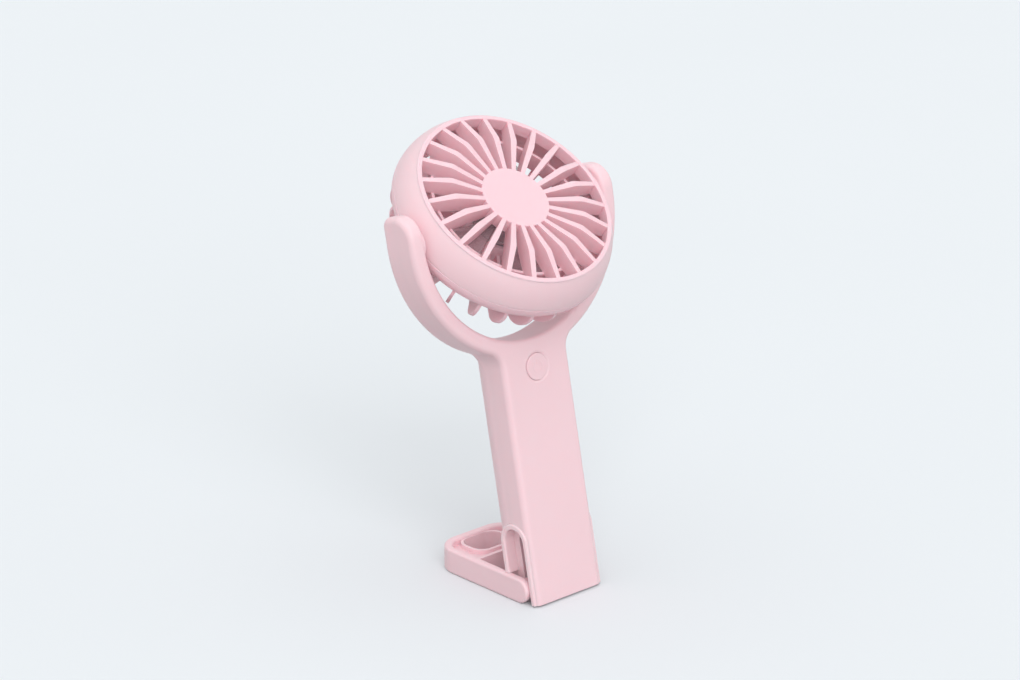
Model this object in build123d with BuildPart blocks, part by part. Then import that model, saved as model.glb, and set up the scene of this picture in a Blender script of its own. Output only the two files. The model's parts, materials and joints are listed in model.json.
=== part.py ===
from build123d import *
from math import cos, hypot, radians, sin, sqrt
import os

os.makedirs("parts", exist_ok=True)

# ---------------------------------------------------------------------------
# A hand-held fan standing on its fold-out loop. Millimetres and degrees.
# +Z is up, the front faces -Y, and the origin is on the table under the
# middle of the fan. The handle leans back and the head looks up and forward.
# ---------------------------------------------------------------------------

# Handle
lean = 11.95              # handle leans back from the vertical
handle_width = 36.0
handle_depth = 22.6
front_corner = 2.6        # radius of the long front edges
back_corner = 11.5        # radius of the long back edges
wall = 1.8
split_depth = 9.0         # front and rear shells meet here, on the two pivots
front_edge_y = -41.780    # lower front edge of the handle, from the origin
front_edge_z = 0.95       # the same edge, above the table
heel_gap = 0.5            # clearance of the handle's base above the table
lip_depth = 3.6           # thickness of the lip in front of the loop's arms

# Yoke
pivot_height = 157.8      # head pivot, along the handle from its lower edge
yoke_inner = 48.9
yoke_outer = 55.8
yoke_depth = 17.2
arm_rise = 13.2           # arms reach this far above the pivot
arm_slope = 1.4           # and their tops fall this much towards the back
arm_nose = 10.0           # radius of each arm's top towards the front
neck_base = 90.0
neck_fillet = 7.5
inner_rounding = 1.8      # edges on the yoke's inner side
hollow_rise = 5.6         # the arms are hollow up to here above the pivot
hollow_back = 14.2        # and down to this depth
pad_radius = 8.0          # flat pad round each pivot, on the arm's inner side
pad_face = 48.0           # from the middle plane to the face of that pad

# Head, measured along its own axis from the pivot (s) and out from it (r)
head_tilt = 53.0          # head axis above the horizontal
ring_front = 14.0
ring_inner = 40.9
ring_outer = 42.3
shell_radius = 47.6       # at the barrel's widest place
widest = -0.5             # where that is along the axis
shell_bulge = 23.2        # radius of the barrel's outline in front of it
turn_in = 6.5             # and behind it
shell_front = 13.2
shell_wall = 1.8
shell_back = 0.6          # seam between the barrel and the rear grille
seam_edge = 0.3           # chamfer on both sides of that seam
rear_edge = -5.5
rear_floor = 1.6          # thickness of the rear grille's rim at that edge
rib_count = 23
hub_width = 1.8           # thickness of a front rib at the hub
knee_width = 2.6          # at its knee
rim_width = 1.9           # and at the rim
first_rib = 88.7          # angle of a front rib about the head axis
knee_radius = 29.1        # the ribs stand highest here
knee_rise = 2.4
fin_floor = 8.0           # inner edge of the front ribs
hub_radius = 14.9
hub_front = 14.25
duct_inner = 33.7
duct_outer = 34.9
duct_back = 2.4           # the duct hangs from the ribs and ends here
fin_front = -7.05         # inner edge of the rear fins
fin_count = 24            # fins of the rear grille
fin_width = 1.4
cup_outer = 13.8
cup_back = -21.8

# Motor and impeller
motor_radius = 12.0
motor_front = -1.2
motor_back = -19.8
bearing_radius = 2.6
shaft_radius = 1.0
blade_count = 5
first_blade = 48          # angle of a blade about the head axis
blade_tip = 32.9
rotor_hub = 14.0
rotor_front = 7.2

# Trunnions that carry the head
trunnion_radius = 3.9
trunnion_fit = 0.08       # radial clearance in the arm
trunnion_end = 52.4
flange_radius = 6.0
flange_face = 44.7
lead_bore = 1.6

# Button, board, battery, screws
button_height = 96.7
button_radius = 5.6
button_fit = 0.15
button_dish = 6.7         # radius of the shallow dish round the button
dish_depth = 0.4
board_depth = 7.8
board_thickness = 1.2
battery_radius = 9.1
battery_length = 65.0
battery_base = 19.5
battery_depth = 11.3
port_height = 92.0
port_depth = 6.1
screw_radius = 0.8
screw_head = 1.5

# Stand loop and the channels that its arms stand in
loop_height = 10.6        # thickness of the loop, flat on the table
loop_width = 40.4
loop_wall = 3.5
loop_reach = 51.6         # hinge to the far outer face
loop_corner = 11.0
loop_rounding = 1.1
bar_start = 28.6          # crossbar, behind the hinge
bar_end = 33.6
bar_top = 9.0
slot_length = 19.4
slot_width = 14.2
slot_corner = 5.5
slot_rim = 1.3
rim_top = 9.4
ledge_width = 1.7         # raised edge along the front of the crossbar
floor_base = 1.5          # floor between the slot's rim and the walls
floor_top = 7.6
hinge_height = 6.35       # along the handle
arm_notch = 10.7          # the handle is cut away below this for the arms
channel_width = 10.8
channel_floor = 13.4      # from the middle plane to the channel's floor
plate_inside = 11.8       # and to the inner face of its plate
pocket_floor = 11.6
channel_top = 31.8
channel_lining = 1.3
bead_width = 2.5
bead_base = 17.2
bead_face = 18.8
bead_rounding = 0.8
pin_radius = 2.0
pin_fit = 0.06
pin_head = 3.25
pin_travel = 20.0         # length of the slot that the pin could slide along

# ---------------------------------------------------------------------------
# Planes
# ---------------------------------------------------------------------------
handle_normal = Vector(0, -cos(radians(lean)), sin(radians(lean)))
head_axis = Vector(0, -cos(radians(head_tilt)), sin(radians(head_tilt)))

# front: x across the handle, y up along it, normal out of the front face
front = Plane(origin=(0, front_edge_y, front_edge_z), x_dir=(1, 0, 0), z_dir=handle_normal)
# side: x is depth behind the front face, y up along the handle, normal to +X
side = Plane(origin=front.origin, x_dir=-handle_normal, z_dir=(1, 0, 0))


def handle_point(x, height, depth):
    """A point of the handle, from its own three distances."""
    return front.from_local_coords(Vector(x, height, -depth))


def level(height):
    """Cross-section plane of the handle: x across it, y is depth."""
    return Plane(origin=handle_point(0, height, 0), x_dir=(1, 0, 0), z_dir=front.y_dir)


def sideways(x, height, depth):
    """Plane square to X at a point of the handle, with side's directions."""
    return Plane(origin=handle_point(x, height, depth), x_dir=side.x_dir, z_dir=(1, 0, 0))


pivot = handle_point(0, pivot_height, split_depth)
hinge = handle_point(0, hinge_height, split_depth)
# face: the head's own plane through the pivot, normal along the head axis
face = Plane(origin=pivot, x_dir=(1, 0, 0), z_dir=head_axis)
turning_axis = Axis(pivot, head_axis)


def outward(angle):
    """Direction away from the head axis, at an angle about it."""
    return face.x_dir * cos(radians(angle)) + face.y_dir * sin(radians(angle))


def spoke_plane(angle):
    """Plane through the head axis: x is r, y is s, turned by angle."""
    return Plane(origin=pivot, x_dir=outward(angle), z_dir=outward(angle).cross(head_axis))


# ---------------------------------------------------------------------------
# Shapes that several sub-parts share
# ---------------------------------------------------------------------------
hands = {"left": -1, "right": 1}
both = tuple(hands.values())


def save(piece, label):
    """Name a finished piece and write it to its own file."""
    piece.label = label
    export_step(piece, f"parts/{label}.step")


def rise(depth, z):
    """Height along the handle at which a given depth is z above the table."""
    return (z - front_edge_z + depth * sin(radians(lean))) / cos(radians(lean))


def column(base, top, inset):
    """Straight stretch of the handle between two heights."""
    with BuildPart() as block:
        with BuildSketch(level(base)) as section:
            with Locations((0, handle_depth / 2)):
                Rectangle(handle_width - 2 * inset, handle_depth - 2 * inset)
            fillet(section.vertices().group_by(Axis.Y)[0], front_corner - inset)
            fillet(section.vertices().group_by(Axis.Y)[-1], back_corner - inset)
        extrude(amount=top - base)
    return block.part


def side_prism(points, near=-60, far=60, rounds=None):
    """Prism along X from a side outline, given in depth and height."""
    with BuildPart() as prism:
        with BuildSketch(side.offset(near)) as outline:
            with BuildLine():
                Polyline(*points, close=True)
            make_face()
            for corner, radius in (rounds or {}).items():
                vertex = outline.vertices().sort_by_distance((*points[corner], 0))[0]
                fillet(vertex, radius)
        extrude(amount=far - near)
    return prism.part


def below(z, near=-60, far=60, depth=0):
    """What lies lower than z above the table, behind a given depth."""
    return side_prism([(depth, -20), (depth, rise(depth, z)), (40, rise(40, z)), (40, -20)], near, far)


def below_on_sides(z, near, far, depth=0):
    """The same as below, in two slices that mirror each other."""
    return [below(z, near, far, depth), below(z, -far, -near, depth)]


def arch(margin, near, far, sides=both):
    """The channel's arched outline with a margin round it."""
    half = channel_width / 2 + margin
    crown = channel_top - channel_width / 2
    with BuildPart() as block:
        for sign in sides:
            with BuildSketch(sideways(sign * near, 0, split_depth)):
                with Locations((0, crown)):
                    Circle(half)
                    Rectangle(2 * half, crown + 20, align=(Align.CENTER, Align.MAX))
            extrude(amount=sign * (far - near))
    return block.part


def across(radius, near, far, height=pivot_height, sides=both):
    """Rods along X through a pivot, on one side or both."""
    with BuildPart() as block:
        for sign in sides:
            with BuildSketch(sideways(sign * near, height, split_depth)):
                Circle(radius)
            extrude(amount=sign * (far - near))
    return block.part


def rods(places, radius, start, end):
    """Rods square to the front face at (x, height) places, between depths."""
    with BuildPart() as block:
        with BuildSketch(front.offset(-start)):
            with Locations(*places):
                Circle(radius)
        extrude(amount=start - end)
    return block.part


def ring(outer, inner, start, end):
    """Tube round the head's axis, or a rod where inner is 0."""
    with BuildPart() as tube:
        with BuildSketch(face.offset(start)):
            Circle(outer)
            if inner > 0:
                Circle(inner, mode=Mode.SUBTRACT)
        extrude(amount=end - start)
    return tube.part


# ---------------------------------------------------------------------------
# Outside of the handle and yoke, still one block
# ---------------------------------------------------------------------------
arm_middle = (yoke_inner + yoke_outer) / 2
arm_top = pivot_height + arm_rise


def follows_outline(edge):
    """True for edges that run round the yoke's front or back outline."""
    direction = edge.tangent_at(0)
    above_neck = front.to_local_coords(edge.center()).Y > neck_base + 0.1
    return above_neck and abs(direction.dot(handle_normal)) < 0.999 and abs(direction.X) < 0.999


def off_pivot(edge):
    """Distance of an edge's middle from the pivot line, seen from the front."""
    middle = front.to_local_coords(edge.center())
    return hypot(middle.X, middle.Y - pivot_height)


yoke_profile = [
    (0, 80),
    (0, arm_top),
    (yoke_depth, arm_top - arm_slope),
    (yoke_depth, 101),
    (split_depth, neck_base),
    (split_depth, 80),
]
with BuildPart() as yoke:
    with BuildSketch(front) as outline:
        with Locations((0, pivot_height)):
            Circle(yoke_outer)
        with Locations((0, neck_base)):
            Rectangle(handle_width, 30, align=(Align.CENTER, Align.MIN))
        fillet(outline.vertices().group_by(Axis.Y)[1], neck_fillet)
        with Locations((0, pivot_height)):
            Rectangle(2 * yoke_outer + 2, 60, align=(Align.CENTER, Align.MIN), mode=Mode.SUBTRACT)
            Rectangle(2 * yoke_outer, arm_rise, align=(Align.CENTER, Align.MIN))
            Rectangle(2 * yoke_inner, 60, align=(Align.CENTER, Align.MIN), mode=Mode.SUBTRACT)
            Circle(yoke_inner, mode=Mode.SUBTRACT)
    extrude(amount=-yoke_depth)
    add(side_prism(yoke_profile, rounds={1: arm_nose, 2: 4.0, 3: 20.0}), mode=Mode.INTERSECT)
    fillet(yoke.edges().filter_by(lambda e: follows_outline(e) and off_pivot(e) > arm_middle), front_corner)
    fillet(yoke.edges().filter_by(lambda e: follows_outline(e) and off_pivot(e) < arm_middle), inner_rounding)

shoulder = [(0, 0), (0, 103), (14, 103), (yoke_depth, 106.5), (handle_depth, 92), (handle_depth, 0)]
with BuildPart() as stem:
    add(column(0, 112, 0))
    add(side_prism(shoulder, rounds={4: 30.0}), mode=Mode.INTERSECT)

with BuildPart() as outside:
    add(yoke.part)
    add(stem.part)
    add(across(pad_radius, pad_face, yoke_inner + wall))
    add(below(heel_gap, depth=lip_depth), mode=Mode.SUBTRACT)

# ---------------------------------------------------------------------------
# The hollow inside, and what is cut through the walls
# ---------------------------------------------------------------------------
inside = [(wall, -6), (wall, 105), (15.2, 105), (handle_depth - wall, 90.5), (handle_depth - wall, -6)]
with BuildPart() as handle_hollow:
    add(column(-6, 110, wall))
    add(side_prism(inside), mode=Mode.INTERSECT)
    add(below_on_sides(arm_notch + wall, pocket_floor, 20), mode=Mode.SUBTRACT)

with BuildPart() as yoke_hollow:
    with BuildSketch(front.offset(-wall)):
        with Locations((0, pivot_height)):
            Circle(yoke_outer - wall)
            Rectangle(2 * yoke_outer, 60, align=(Align.CENTER, Align.MIN), mode=Mode.SUBTRACT)
            Rectangle(2 * (yoke_outer - wall), hollow_rise, align=(Align.CENTER, Align.MIN))
            Rectangle(2 * (yoke_inner + wall), 60, align=(Align.CENTER, Align.MIN), mode=Mode.SUBTRACT)
            Circle(yoke_inner + wall, mode=Mode.SUBTRACT)
    extrude(amount=wall - hollow_back)

# screws from the back: places, and the depth of their heads' seats
column_screws = [(-13.2, 62), (13.2, 62)]
column_seat = 17.0
arm_screws = [(-arm_middle, arm_top - 5.2), (arm_middle, arm_top - 5.2)]
arm_seat = 13.0
screw_tip = 4.0
screw_sets = ((column_screws, column_seat), (arm_screws, arm_seat))

with BuildPart() as posts:
    add(rods(column_screws, 2.7, 1, handle_depth))
    add(outside.part, mode=Mode.INTERSECT)

with BuildPart() as screw_holes:
    for places, seat in screw_sets:
        add(rods(places, screw_radius + 0.02, screw_tip - 0.5, split_depth))
        add(rods(places, screw_radius + 0.2, split_depth, 30))
        add(rods(places, screw_head + 0.2, seat, 30))

with BuildPart() as both_shells:
    add(outside.part)
    add(handle_hollow.part, mode=Mode.SUBTRACT)
    add(yoke_hollow.part, mode=Mode.SUBTRACT)
    add(posts.part)
    add(screw_holes.part, mode=Mode.SUBTRACT)
    add(across(trunnion_radius + trunnion_fit, 46, yoke_inner + wall + 0.5), mode=Mode.SUBTRACT)
    add(arch(channel_lining + 0.05, pocket_floor, 25), mode=Mode.SUBTRACT)
    add(arch(bead_width + 0.05, bead_base - 0.05, 25), mode=Mode.SUBTRACT)
    add(below_on_sides(arm_notch, channel_floor, 25, lip_depth), mode=Mode.SUBTRACT)

board_posts = [(-10.5, 89.5), (10.5, 101.5)]
with BuildPart() as front_shell:
    add(both_shells.part)
    split(bisect_by=front.offset(-split_depth), keep=Keep.TOP)
    add(rods(board_posts, 2.2, 1, board_depth))
    add(rods(board_posts, screw_radius + 0.02, screw_tip - 0.5, board_depth), mode=Mode.SUBTRACT)
    # button hole with a shallow dish round it
    add(rods([(0, button_height)], button_radius + button_fit, -1, 3), mode=Mode.SUBTRACT)
    with BuildSketch(front):
        with Locations((0, button_height)):
            Circle(button_dish)
    with BuildSketch(front.offset(-dish_depth)):
        with Locations((0, button_height)):
            Circle(button_radius + button_fit)
    loft(mode=Mode.SUBTRACT)
    # mouth of the charging socket, through the right wall
    with BuildSketch(sideways(15, port_height, port_depth)):
        SlotOverall(9.3, 3.6, rotation=90)
    extrude(amount=5, mode=Mode.SUBTRACT)
save(front_shell.part, "front_shell")

with BuildPart() as rear_shell:
    add(both_shells.part)
    split(bisect_by=front.offset(-split_depth), keep=Keep.BOTTOM)
save(rear_shell.part, "rear_shell")

with BuildPart() as shell_screws:
    for places, seat in screw_sets:
        add(rods(places, screw_radius, screw_tip, seat))
        add(rods(places, screw_head, seat, seat + 1.4))
        with BuildSketch(front.offset(-seat - 1.4)):
            with Locations(*places):
                Rectangle(2.0, 0.45)
                Rectangle(0.45, 2.0)
        extrude(amount=0.6, mode=Mode.SUBTRACT)
save(shell_screws.part, "shell_screws")

# ---------------------------------------------------------------------------
# Channels that the loop's arms stand in, and the plate that closes the base
# ---------------------------------------------------------------------------
upwards = Axis(front.origin, front.y_dir)
for hand, sign in hands.items():
    with BuildPart() as bead:
        add(arch(bead_width, bead_base, bead_face, (sign,)))
        add(arch(0, bead_base - 1, bead_face + 1, (sign,)), mode=Mode.SUBTRACT)
        outer_face = bead.faces().sort_by(Axis.X)[-1 if sign > 0 else 0]
        fillet(outer_face.edges().sort_by(upwards)[2:], bead_rounding)
    with BuildPart() as channel:
        add(arch(channel_lining, plate_inside, handle_width / 2, (sign,)))
        add(bead.part)
        add(arch(0, channel_floor, 25, (sign,)), mode=Mode.SUBTRACT)
        add(below_on_sides(arm_notch, channel_floor, 25, lip_depth), mode=Mode.SUBTRACT)
        add(below(heel_gap + 0.1), mode=Mode.SUBTRACT)
        add(side_prism([(-5, -25), (-5, 0.1), (40, 0.1), (40, -25)]), mode=Mode.SUBTRACT)
        with BuildSketch(sideways(sign * 10, hinge_height + pin_travel / 2, split_depth)):
            SlotCenterToCenter(pin_travel, 2 * (pin_radius + pin_fit), rotation=90)
        extrude(amount=sign * 5, mode=Mode.SUBTRACT)
    save(channel.part, f"{hand}_channel")

cap_top = 1.8
with BuildPart() as base_cap:
    add(column(-2, 8, wall + 0.1))
    add(below(cap_top, 0.1 - pocket_floor, pocket_floor - 0.1), mode=Mode.INTERSECT)
    add(below(heel_gap + 0.1), mode=Mode.SUBTRACT)
save(base_cap.part, "base_cap")

# ---------------------------------------------------------------------------
# Stand loop, flat on the table behind the handle, and its two hinge pins
# ---------------------------------------------------------------------------
ground = Plane(origin=(0, hinge.Y, 0))
loop_side = Plane(origin=(-30, hinge.Y, 0), x_dir=(0, 1, 0), z_dir=(1, 0, 0))
slot_middle = (0, (bar_end + loop_reach - loop_wall - 0.3) / 2)

with BuildPart() as stand_loop:
    with BuildSketch(ground) as plan:
        with Locations((0, -loop_height / 2)):
            Rectangle(loop_width, loop_reach + loop_height / 2, align=(Align.CENTER, Align.MIN))
        fillet(plan.vertices().group_by(Axis.Y)[-1], loop_corner)
    extrude(amount=loop_height)
    with BuildSketch(ground) as gap:
        with Locations((0, -10)):
            Rectangle(
                loop_width - 2 * loop_wall, loop_reach - loop_wall + 10, align=(Align.CENTER, Align.MIN)
            )
        fillet(gap.vertices().group_by(Axis.Y)[-1], loop_corner - loop_wall)
    extrude(amount=loop_height, mode=Mode.SUBTRACT)
    # the arms' ends are round about the hinge
    with BuildSketch(loop_side):
        with Locations((0, loop_height / 2)):
            Circle(loop_height / 2)
        Rectangle(60, loop_height, align=(Align.MIN, Align.MIN))
    extrude(amount=60, mode=Mode.INTERSECT)
    outlines = stand_loop.edges().filter_by(Axis.Z, reverse=True)
    fillet(outlines.filter_by(lambda e: abs(e.center().Y - hinge.Y) > 0.01), loop_rounding)
    # crossbar with its raised edge, and the rim and floor round the slot
    for length, height in ((bar_end - bar_start, floor_top), (ledge_width, bar_top)):
        with BuildSketch(ground):
            with Locations((0, bar_start)):
                Rectangle(loop_width - loop_wall, length, align=(Align.CENTER, Align.MIN))
        extrude(amount=height)
    with BuildSketch(ground):
        with Locations(slot_middle):
            RectangleRounded(slot_length + 2 * slot_rim, slot_width + 2 * slot_rim, slot_corner + slot_rim)
    extrude(amount=rim_top)
    with BuildSketch(ground.offset(floor_base)) as floor:
        with Locations((0, bar_end - 1)):
            Rectangle(loop_width - loop_wall, loop_reach - bar_end - 1, align=(Align.CENTER, Align.MIN))
        fillet(floor.vertices().group_by(Axis.Y)[-1], loop_corner - loop_wall / 2)
    extrude(amount=floor_top - floor_base)
    with BuildSketch(ground):
        with Locations(slot_middle):
            RectangleRounded(slot_length, slot_width, slot_corner)
    extrude(amount=loop_height, mode=Mode.SUBTRACT)
    # bosses inside the arms
    add(across(4.0, channel_floor + 0.2, loop_width / 2 - loop_wall + 0.3, hinge_height))
    add(across(pin_radius, channel_floor, 18.5, hinge_height), mode=Mode.SUBTRACT)
save(stand_loop.part, "stand_loop")

for hand, sign in hands.items():
    with BuildPart() as pin:
        add(across(pin_radius, 10.2, 18.4, hinge_height, (sign,)))
        add(across(pin_head, 10.2, pocket_floor, hinge_height, (sign,)))
    save(pin.part, f"{hand}_pin")

# ---------------------------------------------------------------------------
# Head: barrel, front grille, rear grille
# ---------------------------------------------------------------------------


def barrel_r(s, inset=0.0):
    """Outer radius of the barrel at s, or of a line that is inset from it."""
    bend = shell_bulge if s > widest else turn_in
    return shell_radius - bend + sqrt((bend - inset) ** 2 - (s - widest) ** 2)


def barrel_arc(start, end, inset=0.0):
    """Stretch of the barrel's outline between two places along the axis."""
    middle = (start + end) / 2
    return ThreePointArc(
        (barrel_r(start, inset), start), (barrel_r(middle, inset), middle), (barrel_r(end, inset), end)
    )


with BuildPart() as barrel_form:
    with BuildSketch(spoke_plane(0)):
        with BuildLine():
            barrel_arc(shell_front, widest)
            barrel_arc(widest, rear_edge)
            Polyline(
                (barrel_r(rear_edge), rear_edge),
                (0, rear_edge),
                (0, shell_front),
                (barrel_r(shell_front), shell_front),
            )
        make_face()
    revolve(axis=turning_axis)

# flat seats inside the barrel for the trunnions' flanges
with BuildPart() as flange_seats:
    add(across(flange_radius + 0.5, flange_face + 0.1, 46.2))
    add(barrel_form.part, mode=Mode.INTERSECT)

shoulder_s = 11.12        # the rim's seat in the barrel starts here
with BuildPart() as head_shell:
    with BuildSketch(spoke_plane(0)):
        with BuildLine():
            barrel_arc(shell_front, shell_back + seam_edge)
            Polyline(
                (barrel_r(shell_back + seam_edge), shell_back + seam_edge),
                (barrel_r(shell_back) - seam_edge, shell_back),
                (barrel_r(shell_back, shell_wall), shell_back),
            )
            barrel_arc(shell_back, shoulder_s, shell_wall)
            Polyline(
                (barrel_r(shoulder_s, shell_wall), shoulder_s),
                (barrel_r(shoulder_s, shell_wall), shell_front),
                (barrel_r(shell_front), shell_front),
            )
        make_face()
    revolve(axis=turning_axis)
    add(flange_seats.part)
    add(ring(60, 0, shell_back - 20, shell_back), mode=Mode.SUBTRACT)
    add(across(trunnion_radius + 0.05, 40, 50), mode=Mode.SUBTRACT)
save(head_shell.part, "head_shell")


def front_rib(angle):
    """One deep radial rib of the front grille, highest and thickest at its knee."""
    knee = (knee_radius, ring_front + knee_rise)
    plan = [
        (hub_radius - 0.7, hub_width / 2),
        (knee_radius, knee_width / 2),
        (ring_inner + 0.7, rim_width / 2),
    ]
    with BuildPart() as rib:
        with BuildSketch(spoke_plane(angle)) as outline:
            with BuildLine():
                Polyline(
                    (hub_radius - 0.7, fin_floor),
                    (hub_radius - 0.7, hub_front - 0.05),
                    knee,
                    (ring_inner + 0.7, ring_front - 0.45),
                    (ring_inner + 0.7, fin_floor + 0.5),
                    (ring_inner, fin_floor),
                    close=True,
                )
            make_face()
            fillet(outline.vertices().sort_by_distance((*knee, 0))[0], 7)
        extrude(amount=knee_width, both=True)
        with BuildSketch(Plane(origin=pivot, x_dir=outward(angle), z_dir=head_axis)):
            with BuildLine():
                Polyline(*plan, *[(r, -half) for r, half in reversed(plan)], close=True)
            make_face()
        extrude(amount=20, mode=Mode.INTERSECT)
    return rib.part


with BuildPart() as front_grille:
    with BuildSketch(spoke_plane(0)) as rim:
        with BuildLine():
            Polyline(
                (ring_inner, fin_floor + 0.5),
                (ring_outer, fin_floor + 0.5),
                (ring_outer, shell_front + 0.05),
                (ring_outer + 0.75, shell_front + 0.05),
                (ring_outer + 0.75, ring_front),
                (ring_inner, ring_front),
                close=True,
            )
        make_face()
        fillet(rim.vertices().sort_by_distance((ring_outer + 0.75, ring_front, 0))[0], 0.7)
        fillet(rim.vertices().sort_by_distance((ring_inner, ring_front, 0))[0], 0.3)
    revolve(axis=turning_axis)
    # hub: a flat disc with a skirt
    with BuildSketch(spoke_plane(0)) as hub:
        with BuildLine():
            Polyline(
                (0, hub_front - 1.6),
                (hub_radius - 1.7, hub_front - 1.6),
                (hub_radius - 1.7, fin_floor),
                (hub_radius, fin_floor),
                (hub_radius, hub_front),
                (0, hub_front),
                close=True,
            )
        make_face()
        fillet(hub.vertices().sort_by_distance((hub_radius, hub_front, 0))[0], 0.5)
    revolve(axis=turning_axis)
    add([front_rib(first_rib + 360 / rib_count * count) for count in range(rib_count)])
    # duct round the blades
    add(ring(duct_outer, duct_inner, duct_back, fin_floor + 0.3))
save(front_grille.part, "front_grille")


def rear_fin(angle, width):
    """One fin of the rear grille, from the motor cup to the rim, round at its back."""
    with BuildPart() as fin:
        with BuildSketch(spoke_plane(angle)):
            with BuildLine():
                Polyline(
                    (36.0, -19.8),
                    (cup_outer - 0.8, cup_back + 0.4),
                    (cup_outer - 0.8, fin_front),
                    (41.5, fin_front),
                    (41.5, rear_edge + rear_floor / 2),
                    (44.8, rear_edge + rear_floor / 2),
                    (45.4, -8.0),
                )
                ThreePointArc((45.4, -8.0), (42.7, -15.0), (36.0, -19.8))
            make_face()
        extrude(amount=width / 2, both=True)
    return fin.part


lead_angle = 180          # the wire runs along this fin
with BuildPart() as rear_grille:
    with BuildSketch(spoke_plane(0)):
        with BuildLine():
            barrel_arc(shell_back - seam_edge, widest)
            barrel_arc(widest, rear_edge)
            Polyline(
                (barrel_r(rear_edge), rear_edge),
                (41.0, rear_edge),
                (41.0, rear_edge + rear_floor),
                (barrel_r(rear_edge + rear_floor, shell_wall), rear_edge + rear_floor),
            )
            barrel_arc(rear_edge + rear_floor, widest, shell_wall)
            barrel_arc(widest, shell_back, shell_wall)
            Polyline(
                (barrel_r(shell_back, shell_wall), shell_back),
                (barrel_r(shell_back) - seam_edge, shell_back),
                (barrel_r(shell_back - seam_edge), shell_back - seam_edge),
            )
        make_face()
    revolve(axis=turning_axis)
    add(flange_seats.part)
    add(ring(60, 0, shell_back, 20), mode=Mode.SUBTRACT)
    add(ring(cup_outer, motor_radius + 0.1, cup_back, motor_front - 1.8))
    add(ring(cup_outer, 0, cup_back, cup_back + 1.2))
    add([rear_fin(lead_angle + 360 / fin_count * count, fin_width) for count in range(1, fin_count)])
    add(rear_fin(lead_angle, 3.4))
    # groove for the wire
    spoke = outward(lead_angle)
    with BuildSketch(Plane(origin=pivot + spoke * 10, z_dir=spoke, x_dir=head_axis)):
        with Locations((-8.0, 0)):
            Rectangle(2.2, 1.8)
    extrude(amount=29, mode=Mode.SUBTRACT)
    # room for the trunnions
    add(across(flange_radius + 0.1, 43.2, flange_face + 0.1), mode=Mode.SUBTRACT)
    add(across(trunnion_radius + 0.05, 43.2, 50), mode=Mode.SUBTRACT)
save(rear_grille.part, "rear_grille")

# ---------------------------------------------------------------------------
# Motor, held in the cup of the rear grille
# ---------------------------------------------------------------------------
can_wall = 1.0
with BuildPart() as motor_can:
    add(ring(motor_radius, motor_radius - can_wall, motor_back, motor_front))
    add(ring(motor_radius, bearing_radius, motor_front - can_wall, motor_front))
    add(ring(bearing_radius + 0.8, bearing_radius, motor_front - 2.4, motor_front))
save(motor_can.part, "motor_can")

with BuildPart() as motor_cap:
    add(ring(motor_radius - can_wall, bearing_radius, motor_back, motor_back + 1.2))
    add(ring(bearing_radius + 0.8, bearing_radius, motor_back, motor_back + 2.2))
save(motor_cap.part, "motor_cap")

with BuildPart() as motor_bearings:
    add(ring(bearing_radius, shaft_radius + 0.04, motor_front - 2.4, motor_front))
    add(ring(bearing_radius, shaft_radius + 0.04, motor_back, motor_back + 2.2))
save(motor_bearings.part, "motor_bearings")

magnet_inner = 9.4
with BuildPart() as motor_magnets:
    with BuildSketch(face.offset(motor_back + 3)):
        Circle(motor_radius - can_wall)
        Circle(magnet_inner, mode=Mode.SUBTRACT)
        Rectangle(7, 30, mode=Mode.SUBTRACT)
    extrude(amount=motor_front - motor_back - 6)
save(motor_magnets.part, "motor_magnets")

armature_radius = 8.9
pole_count = 3
core_back = motor_back + 4.8
core_length = 9.0
with BuildPart() as armature:
    with BuildSketch(face.offset(core_back)):
        Circle(armature_radius)
        Circle(armature_radius - 1.2, mode=Mode.SUBTRACT)
        with PolarLocations(armature_radius - 0.5, pole_count, start_angle=60):
            Rectangle(3.0, 2.0, mode=Mode.SUBTRACT)
        Circle(3.0)
        with PolarLocations(4.8, pole_count):
            Rectangle(6.6, 2.4)
        Circle(shaft_radius, mode=Mode.SUBTRACT)
    extrude(amount=core_length)
    add(ring(2.2, shaft_radius, core_back - 1.6, core_back))
save(armature.part, "armature")

with BuildPart() as motor_coils:
    with BuildSketch(face.offset(core_back - 0.8)):
        with PolarLocations(5.2, pole_count):
            Rectangle(3.8, 5.6)
    extrude(amount=core_length + 1.6)
    with BuildSketch(face.offset(core_back)):
        with PolarLocations(5.2, pole_count):
            Rectangle(5, 2.4)
    extrude(amount=core_length, mode=Mode.SUBTRACT)
save(motor_coils.part, "motor_coils")

motor_shaft = ring(shaft_radius, 0, motor_back - 0.4, rotor_front - 1.4)
save(motor_shaft, "motor_shaft")


def blade_section(angle, radius, middle, chord, thickness, pitch):
    """Rounded section of a blade, on a plane square to its spoke."""
    plane = Plane(
        origin=pivot + outward(angle) * radius + head_axis * middle,
        x_dir=head_axis.cross(outward(angle)),
        z_dir=outward(angle),
    )
    with BuildSketch(plane) as section:
        SlotOverall(chord, thickness, rotation=pitch)
    return section.sketch


def blade(angle):
    """One twisted blade, from inside the hub's skirt to past its tip."""
    with BuildPart() as block:
        add(blade_section(angle, 13.2, 2.6, 11.0, 1.5, 42))
        add(blade_section(angle, blade_tip + 0.6, 0.8, 25.0, 1.1, 24))
        loft()
    return block.part


with BuildPart() as impeller:
    add([blade(first_blade + 360 / blade_count * count) for count in range(blade_count)])
    add(ring(blade_tip, 0, -8, 8), mode=Mode.INTERSECT)
    add(ring(rotor_hub, rotor_hub - 1.3, 0, rotor_front))
    add(ring(rotor_hub, 0, rotor_front - 1.2, rotor_front))
    add(ring(3.0, shaft_radius, 0.2, rotor_front - 1.2))
save(impeller.part, "impeller")

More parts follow.
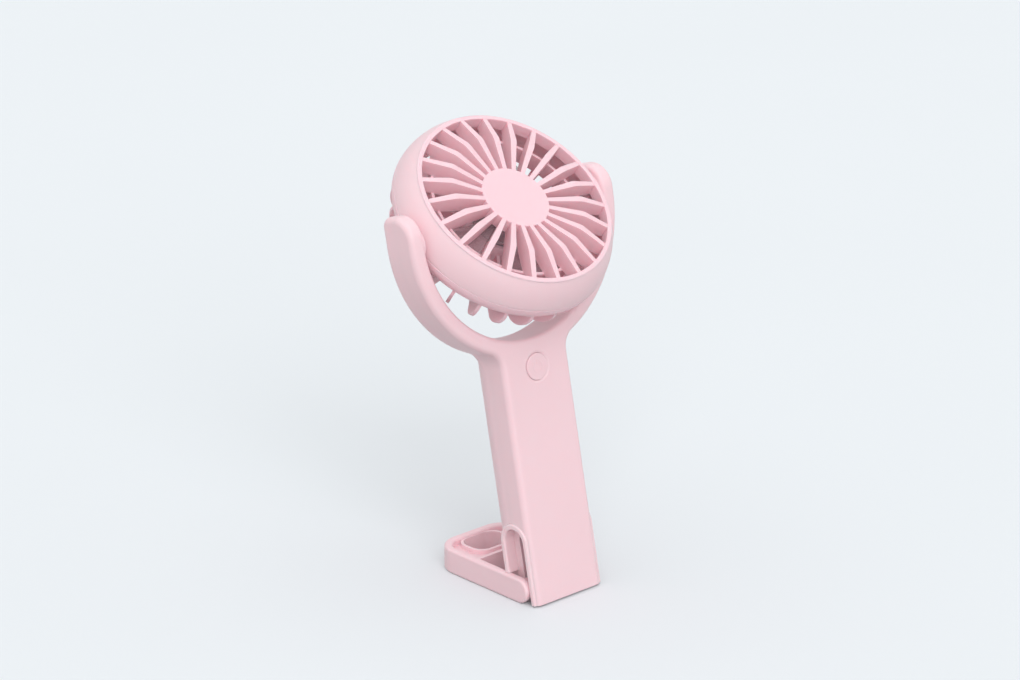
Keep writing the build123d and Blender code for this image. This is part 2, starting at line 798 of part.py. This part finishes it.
# ---------------------------------------------------------------------------
# Trunnions that carry the head in the arms, their clips and washers
# ---------------------------------------------------------------------------
groove_radius = 3.2
clip_start = 50.8
clip_end = 51.6
for hand, sign in hands.items():
    with BuildPart() as trunnion:
        add(across(flange_radius, 43.4, flange_face, sides=(sign,)))
        add(across(trunnion_radius, flange_face, trunnion_end, sides=(sign,)))
        add(across(trunnion_radius + 1, clip_start - 0.05, clip_end + 0.05, sides=(sign,)), mode=Mode.SUBTRACT)
        add(across(groove_radius, clip_start - 0.1, clip_end + 0.1, sides=(sign,)))
        add(across(lead_bore, 42, 54, sides=(sign,)), mode=Mode.SUBTRACT)
    save(trunnion.part, f"{hand}_trunnion")

    with BuildPart() as clip:
        add(across(5.0, clip_start, clip_end, sides=(sign,)))
        add(across(groove_radius + 0.05, clip_start, clip_end, sides=(sign,)), mode=Mode.SUBTRACT)
    save(clip.part, f"{hand}_clip")

    with BuildPart() as washer:
        add(across(flange_radius, shell_radius + 0.02, pad_face - 0.02, sides=(sign,)))
        add(across(trunnion_radius + 0.15, 47, 49, sides=(sign,)), mode=Mode.SUBTRACT)
    save(washer.part, f"{hand}_washer")

# ---------------------------------------------------------------------------
# Power button
# ---------------------------------------------------------------------------
button_places = [(0, button_height)]
with BuildPart() as power_button:
    add(rods(button_places, button_radius, -0.1, 2.0))
    rings = power_button.edges().filter_by(GeomType.CIRCLE)
    fillet(rings.sort_by(Axis(front.origin, front.z_dir))[-1], 0.4)
    add(rods(button_places, button_radius + 0.8, wall + 0.05, 2.7))
    add(rods(button_places, 2.0, 2.5, 3.7))
    # raised power symbol: an open ring and a bar
    with BuildSketch(front.offset(0.1)):
        with Locations((0, button_height)):
            Circle(2.5)
            Circle(2.0, mode=Mode.SUBTRACT)
            Rectangle(1.7, 3, align=(Align.CENTER, Align.MIN), mode=Mode.SUBTRACT)
            with Locations((0, 0.7)):
                Rectangle(0.5, 2.2, align=(Align.CENTER, Align.MIN))
    extrude(amount=0.15)
save(power_button.part, "power_button")

# ---------------------------------------------------------------------------
# Electronics in the handle
# ---------------------------------------------------------------------------
with BuildPart() as tact_switch:
    with BuildSketch(front.offset(-board_depth)):
        with Locations((0, button_height)):
            Rectangle(6, 6)
    extrude(amount=3.0)
    add(rods(button_places, 1.75, 4.35, 5.0))
save(tact_switch.part, "tact_switch")

with BuildPart() as control_board:
    with BuildSketch(front.offset(-board_depth)):
        with Locations((1, 95.2)):
            RectangleRounded(28, 18.4, 1.0)
        with Locations(*board_posts):
            Circle(screw_radius + 0.2, mode=Mode.SUBTRACT)
    extrude(amount=-board_thickness)
    # charging chip and inductor on the back
    with BuildSketch(front.offset(-board_depth - board_thickness)):
        with Locations((-4, 93)):
            Rectangle(5, 6)
        with Locations((7, 92)):
            Rectangle(5, 5)
    extrude(amount=-1.6)
save(control_board.part, "control_board")

with BuildPart() as board_screws:
    add(rods(board_posts, screw_radius, screw_tip, board_depth + board_thickness))
    add(rods(board_posts, screw_head, board_depth + board_thickness, board_depth + board_thickness + 1.0))
save(board_screws.part, "board_screws")

with BuildPart() as usb_c_socket:
    with BuildSketch(sideways(10.4, port_height, port_depth)):
        SlotOverall(8.94, 3.26, rotation=90)
    extrude(amount=7.3)
    with BuildSketch(sideways(11.5, port_height, port_depth)):
        SlotOverall(8.34, 2.66, rotation=90)
    extrude(amount=7, mode=Mode.SUBTRACT)
    with BuildSketch(sideways(11.2, port_height, port_depth)):
        Rectangle(0.7, 6.7)
    extrude(amount=5.4)
save(usb_c_socket.part, "usb_c_socket")

battery_plane = level(battery_base)
with BuildPart() as battery:
    with BuildSketch(battery_plane):
        with Locations((0, battery_depth)):
            Circle(battery_radius)
    extrude(amount=battery_length - 0.6)
    with BuildSketch(battery_plane.offset(battery_length - 0.6)):
        with Locations((0, battery_depth)):
            Circle(3.2)
    extrude(amount=0.6)
save(battery.part, "battery")

with BuildPart() as battery_pads:
    for height in (25, 72):
        with BuildSketch(level(height)):
            with Locations((0, battery_depth)):
                Circle(battery_radius + 0.35)
                Circle(battery_radius, mode=Mode.SUBTRACT)
        extrude(amount=6)
save(battery_pads.part, "battery_pads")


def wire(plane, points, radii, thickness):
    """A wire along straight runs and arcs drawn on a plane."""
    with BuildPart() as block:
        with BuildLine(plane) as route:
            FilletPolyline(*points, radius=radii)
        start = route.line
        with BuildSketch(Plane(origin=start @ 0, z_dir=start % 0)):
            Circle(thickness / 2)
        sweep(path=start)
    return block.part


wire_thickness = 1.2
battery_top = battery_base + battery_length
board_back = board_depth + board_thickness
with BuildPart() as battery_leads:
    for x in (-1.6, 1.6):
        points = [(battery_depth, battery_top), (battery_depth, 88.2), (board_back, 88.2)]
        add(wire(side.offset(x), points, 1.0, wire_thickness))
save(battery_leads.part, "battery_leads")

# from the board round the left arm's hollow to the pivot
lead_sweep = yoke_outer - wall - 0.7
lead_start = 2.0
points = [
    (lead_start, 98),
    (lead_start, pivot_height - lead_sweep),
    (-lead_sweep, pivot_height - lead_sweep),
    (-lead_sweep, pivot_height + 0.6),
]
yoke_lead = wire(front.offset(-board_back - 0.7), points, [1.9, lead_sweep], wire_thickness)
save(yoke_lead, "yoke_lead")

# from the motor along the rear fin, up inside the barrel and out through the trunnion
points = [(motor_radius + 0.05, -8.0), (37.6, -8.0), (41.4, 0), (trunnion_end - 0.2, 0)]
motor_lead = wire(spoke_plane(lead_angle), points, 2.4, wire_thickness)
save(motor_lead, "motor_lead")
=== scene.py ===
import json
import math

import bpy
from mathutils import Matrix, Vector

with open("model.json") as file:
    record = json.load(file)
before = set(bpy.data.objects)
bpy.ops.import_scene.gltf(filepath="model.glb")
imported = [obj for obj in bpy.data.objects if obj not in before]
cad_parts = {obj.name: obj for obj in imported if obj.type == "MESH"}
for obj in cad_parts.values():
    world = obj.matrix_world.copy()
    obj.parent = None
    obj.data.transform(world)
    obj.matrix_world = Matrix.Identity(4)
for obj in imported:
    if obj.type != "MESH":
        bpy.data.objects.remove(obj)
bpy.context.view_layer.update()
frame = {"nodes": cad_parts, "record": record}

# ---------------------------------------------------------------------------
# A pale pink hand-held fan on its fold-out loop, in metres. The front faces
# -Y, and the photograph was taken from the front left and above.
# ---------------------------------------------------------------------------
nodes = frame["nodes"]
scene = bpy.context.scene
scene.view_settings.view_transform = "Standard"

mm = 0.001


# ---------------------------------------------------------------------------
# Node helpers
# ---------------------------------------------------------------------------
def new_material(name):
    """An empty material, its node tree and its shader."""
    material = bpy.data.materials.new(name)
    material.use_nodes = True
    tree = material.node_tree
    shader = tree.nodes["Principled BSDF"]
    return material, tree, shader


def position(tree):
    """Place in the object's own frame, in metres."""
    return tree.nodes.new("ShaderNodeTexCoord").outputs["Object"]


def noise(tree, scale, detail=2.0, roughness=0.5):
    """A noise factor with features of about 1/scale metres."""
    texture = tree.nodes.new("ShaderNodeTexNoise")
    texture.inputs["Scale"].default_value = scale
    texture.inputs["Detail"].default_value = detail
    texture.inputs["Roughness"].default_value = roughness
    tree.links.new(position(tree), texture.inputs["Vector"])
    return texture.outputs["Fac"]


def spread(tree, factor, low, high):
    """A factor's middle range stretched to run from low to high."""
    remap = tree.nodes.new("ShaderNodeMapRange")
    remap.inputs["From Min"].default_value = 0.3
    remap.inputs["From Max"].default_value = 0.7
    remap.inputs["To Min"].default_value = low
    remap.inputs["To Max"].default_value = high
    tree.links.new(factor, remap.inputs["Value"])
    return remap.outputs["Result"]


def tint(tree, factor, first, second):
    """A colour that goes from first to second with a factor.

    Each is a plain colour or another node's output.
    """
    mix = tree.nodes.new("ShaderNodeMix")
    mix.data_type = "RGBA"
    for name, color in (("A", first), ("B", second)):
        if isinstance(color, tuple):
            mix.inputs[name].default_value = (*color, 1)
        else:
            tree.links.new(color, mix.inputs[name])
    tree.links.new(factor, mix.inputs["Factor"])
    return mix.outputs["Result"]


def shaded(color, amount):
    """A colour made darker: amount is the part of it that stays."""
    return tuple(part * amount for part in color)


def bump(tree, height, depth):
    """A surface normal from a height factor, for a relief some millimetres deep."""
    node = tree.nodes.new("ShaderNodeBump")
    node.inputs["Distance"].default_value = depth * mm
    node.inputs["Strength"].default_value = 1.0
    tree.links.new(height, node.inputs["Height"])
    return node.outputs["Normal"]


# ---------------------------------------------------------------------------
# Materials
# ---------------------------------------------------------------------------
def moulded(name, color, rough, grain=0.01, coat=0.0, glow=0.0, depth=1.2):
    """Moulded plastic: faint flow in the colour, uneven gloss and a spark-eroded grain.

    glow is how much light scatters inside it, and depth how far. The grain and
    the depth are in millimetres.
    """
    material, tree, shader = new_material(name)
    links = tree.links
    flow = spread(tree, noise(tree, 22, 3), 0, 1)
    links.new(tint(tree, flow, color, shaded(color, 0.975)), shader.inputs["Base Color"])
    links.new(spread(tree, noise(tree, 90, 3), rough - 0.04, rough + 0.05), shader.inputs["Roughness"])
    links.new(bump(tree, noise(tree, 2600, 2, 0.6), grain), shader.inputs["Normal"])
    shader.inputs["Coat Weight"].default_value = coat
    shader.inputs["Coat Roughness"].default_value = 0.12
    shader.inputs["Subsurface Weight"].default_value = glow
    shader.inputs["Subsurface Radius"].default_value = (1.0, 0.62, 0.67)
    shader.inputs["Subsurface Scale"].default_value = depth * mm
    return material


def smoke(name, color, rough, cover):
    """Tinted clear plastic with faint flow lines.

    cover is how much of what is behind it stays hidden.
    """
    material, tree, shader = new_material(name)
    links = tree.links
    flow = spread(tree, noise(tree, 60, 4), 0, 1)
    links.new(tint(tree, flow, color, shaded(color, 0.86)), shader.inputs["Base Color"])
    links.new(spread(tree, noise(tree, 160, 2), rough - 0.03, rough + 0.05), shader.inputs["Roughness"])
    links.new(bump(tree, noise(tree, 500, 2), 0.02), shader.inputs["Normal"])
    shader.inputs["Alpha"].default_value = cover
    shader.inputs["Coat Weight"].default_value = 0.8
    shader.inputs["Coat Roughness"].default_value = 0.06
    return material


def metal(name, color, rough, streak=900):
    """Plated or turned metal with fine uneven gloss."""
    material, tree, shader = new_material(name)
    links = tree.links
    cloud = spread(tree, noise(tree, 140, 3), 0, 1)
    links.new(tint(tree, cloud, color, shaded(color, 0.8)), shader.inputs["Base Color"])
    links.new(spread(tree, noise(tree, streak, 2), rough - 0.06, rough + 0.08), shader.inputs["Roughness"])
    shader.inputs["Metallic"].default_value = 1.0
    links.new(bump(tree, noise(tree, streak * 2, 2), 0.01), shader.inputs["Normal"])
    return material


pink = (0.92, 0.665, 0.71)
finishes = {
    "pink_satin": moulded("pink_satin", pink, 0.42, glow=0.3),
    "pink_grille": moulded("pink_grille", (0.93, 0.635, 0.69), 0.46, glow=0.6, depth=1.4),
    "pink_gloss": moulded("pink_gloss", (0.92, 0.68, 0.72), 0.22, grain=0.003, coat=0.5, glow=0.5),
    "pink_inner": moulded("pink_inner", (0.86, 0.60, 0.65), 0.5, glow=0.3),
    "smoke_blades": smoke("smoke_blades", (0.62, 0.48, 0.52), 0.16, cover=0.42),
    "washer_grey": moulded("washer_grey", (0.78, 0.74, 0.74), 0.4),
    "steel": metal("steel", (0.60, 0.60, 0.61), 0.3),
    "bronze": metal("bronze", (0.55, 0.38, 0.16), 0.45),
    "magnet": moulded("magnet", (0.06, 0.06, 0.065), 0.6, grain=0.03),
    "laminations": metal("laminations", (0.30, 0.30, 0.31), 0.4),
    "copper": metal("copper", (0.75, 0.30, 0.14), 0.35, streak=2000),
    "board_green": moulded("board_green", (0.03, 0.18, 0.08), 0.3, grain=0.02),
    "switch_black": moulded("switch_black", (0.03, 0.03, 0.03), 0.45),
    "cell_wrap": moulded("cell_wrap", (0.12, 0.20, 0.45), 0.3),
    "foam": moulded("foam", (0.08, 0.08, 0.08), 0.85, grain=0.2),
    "wire_red": moulded("wire_red", (0.55, 0.03, 0.03), 0.35),
}

for part in frame["record"]["subparts"]:
    mesh = nodes[part["node"]].data
    mesh.materials.clear()
    mesh.materials.append(finishes[part["material_slot"]])

# ---------------------------------------------------------------------------
# Floor, lights and camera
# ---------------------------------------------------------------------------
backdrop = (0.80, 0.84, 0.87)     # what the camera sees of the floor and the distance
bounced = (0.43, 0.42, 0.43)      # the floor's colour for the light that it throws back


def looked_at(tree):
    """1 for rays from the camera, a mirror or through glass, and 0 for the rest."""
    rays = tree.nodes.new("ShaderNodeLightPath")
    total = rays.outputs["Is Camera Ray"]
    for kind in ("Is Glossy Ray", "Is Transmission Ray"):
        either = tree.nodes.new("ShaderNodeMath")
        either.operation = "MAXIMUM"
        tree.links.new(total, either.inputs[0])
        tree.links.new(rays.outputs[kind], either.inputs[1])
        total = either.outputs["Value"]
    return total


def floor_material():
    """Pale paper, which throws back less light than it shows."""
    material, tree, shader = new_material("pale_floor")
    cloud = spread(tree, noise(tree, 3, 2), 0, 1)
    shown = tint(tree, cloud, backdrop, shaded(backdrop, 0.99))
    tree.links.new(tint(tree, looked_at(tree), bounced, shown), shader.inputs["Base Color"])
    shader.inputs["Roughness"].default_value = 0.75
    shader.inputs["Specular IOR Level"].default_value = 0.2
    return material


def make_floor(size):
    """One large plain sheet under everything."""
    mesh = bpy.data.meshes.new("floor")
    half = size / 2
    corners = [(-half, -half, 0), (half, -half, 0), (half, half, 0), (-half, half, 0)]
    mesh.from_pydata(corners, [], [(0, 1, 2, 3)])
    mesh.materials.append(floor_material())
    floor = bpy.data.objects.new("floor", mesh)
    scene.collection.objects.link(floor)


def make_world(front, back):
    """Soft light from all round, stronger from the front, behind the backdrop's own colour."""
    world = bpy.data.worlds.new("studio")
    world.use_nodes = True
    tree = world.node_tree
    split = tree.nodes.new("ShaderNodeSeparateXYZ")
    tree.links.new(tree.nodes.new("ShaderNodeTexCoord").outputs["Generated"], split.inputs["Vector"])
    remap = tree.nodes.new("ShaderNodeMapRange")
    remap.inputs["From Min"].default_value = -1
    remap.inputs["To Min"].default_value = front
    remap.inputs["To Max"].default_value = back
    tree.links.new(split.outputs["Y"], remap.inputs["Value"])
    shown = tint(tree, looked_at(tree), remap.outputs["Result"], backdrop)
    tree.links.new(shown, tree.nodes["Background"].inputs["Color"])
    scene.world = world


def sun(name, direction, strength, angle):
    """A soft lamp that shines from a direction on the whole set alike, some degrees wide."""
    lamp = bpy.data.lights.new(name, "SUN")
    lamp.energy = strength
    lamp.angle = math.radians(angle)
    holder = bpy.data.objects.new(name, lamp)
    holder.rotation_euler = Vector(direction).to_track_quat("Z", "Y").to_euler()
    scene.collection.objects.link(holder)


make_floor(size=8.0)
make_world(front=0.78, back=0.62)
sun("key", direction=(-0.5, -0.85, 0.65), strength=1.22, angle=45)
sun("top", direction=(-0.1, 0.1, 1.0), strength=0.5, angle=80)

camera_at = Vector((-0.9892, -1.0756, 0.6350))
camera_aim = Vector((-0.0159, -0.0225, 0.1111))
focal_pixels = 3800               # focal length, and the frame's width, in pixels
image_width = 1020

camera = bpy.data.cameras.new("camera")
camera.sensor_width = 36
camera.lens = focal_pixels / image_width * camera.sensor_width
camera.clip_start = 0.01
camera.clip_end = 20
viewer = bpy.data.objects.new("camera", camera)
viewer.location = camera_at
viewer.rotation_euler = (camera_aim - camera_at).to_track_quat("-Z", "Y").to_euler()
scene.collection.objects.link(viewer)
scene.camera = viewer
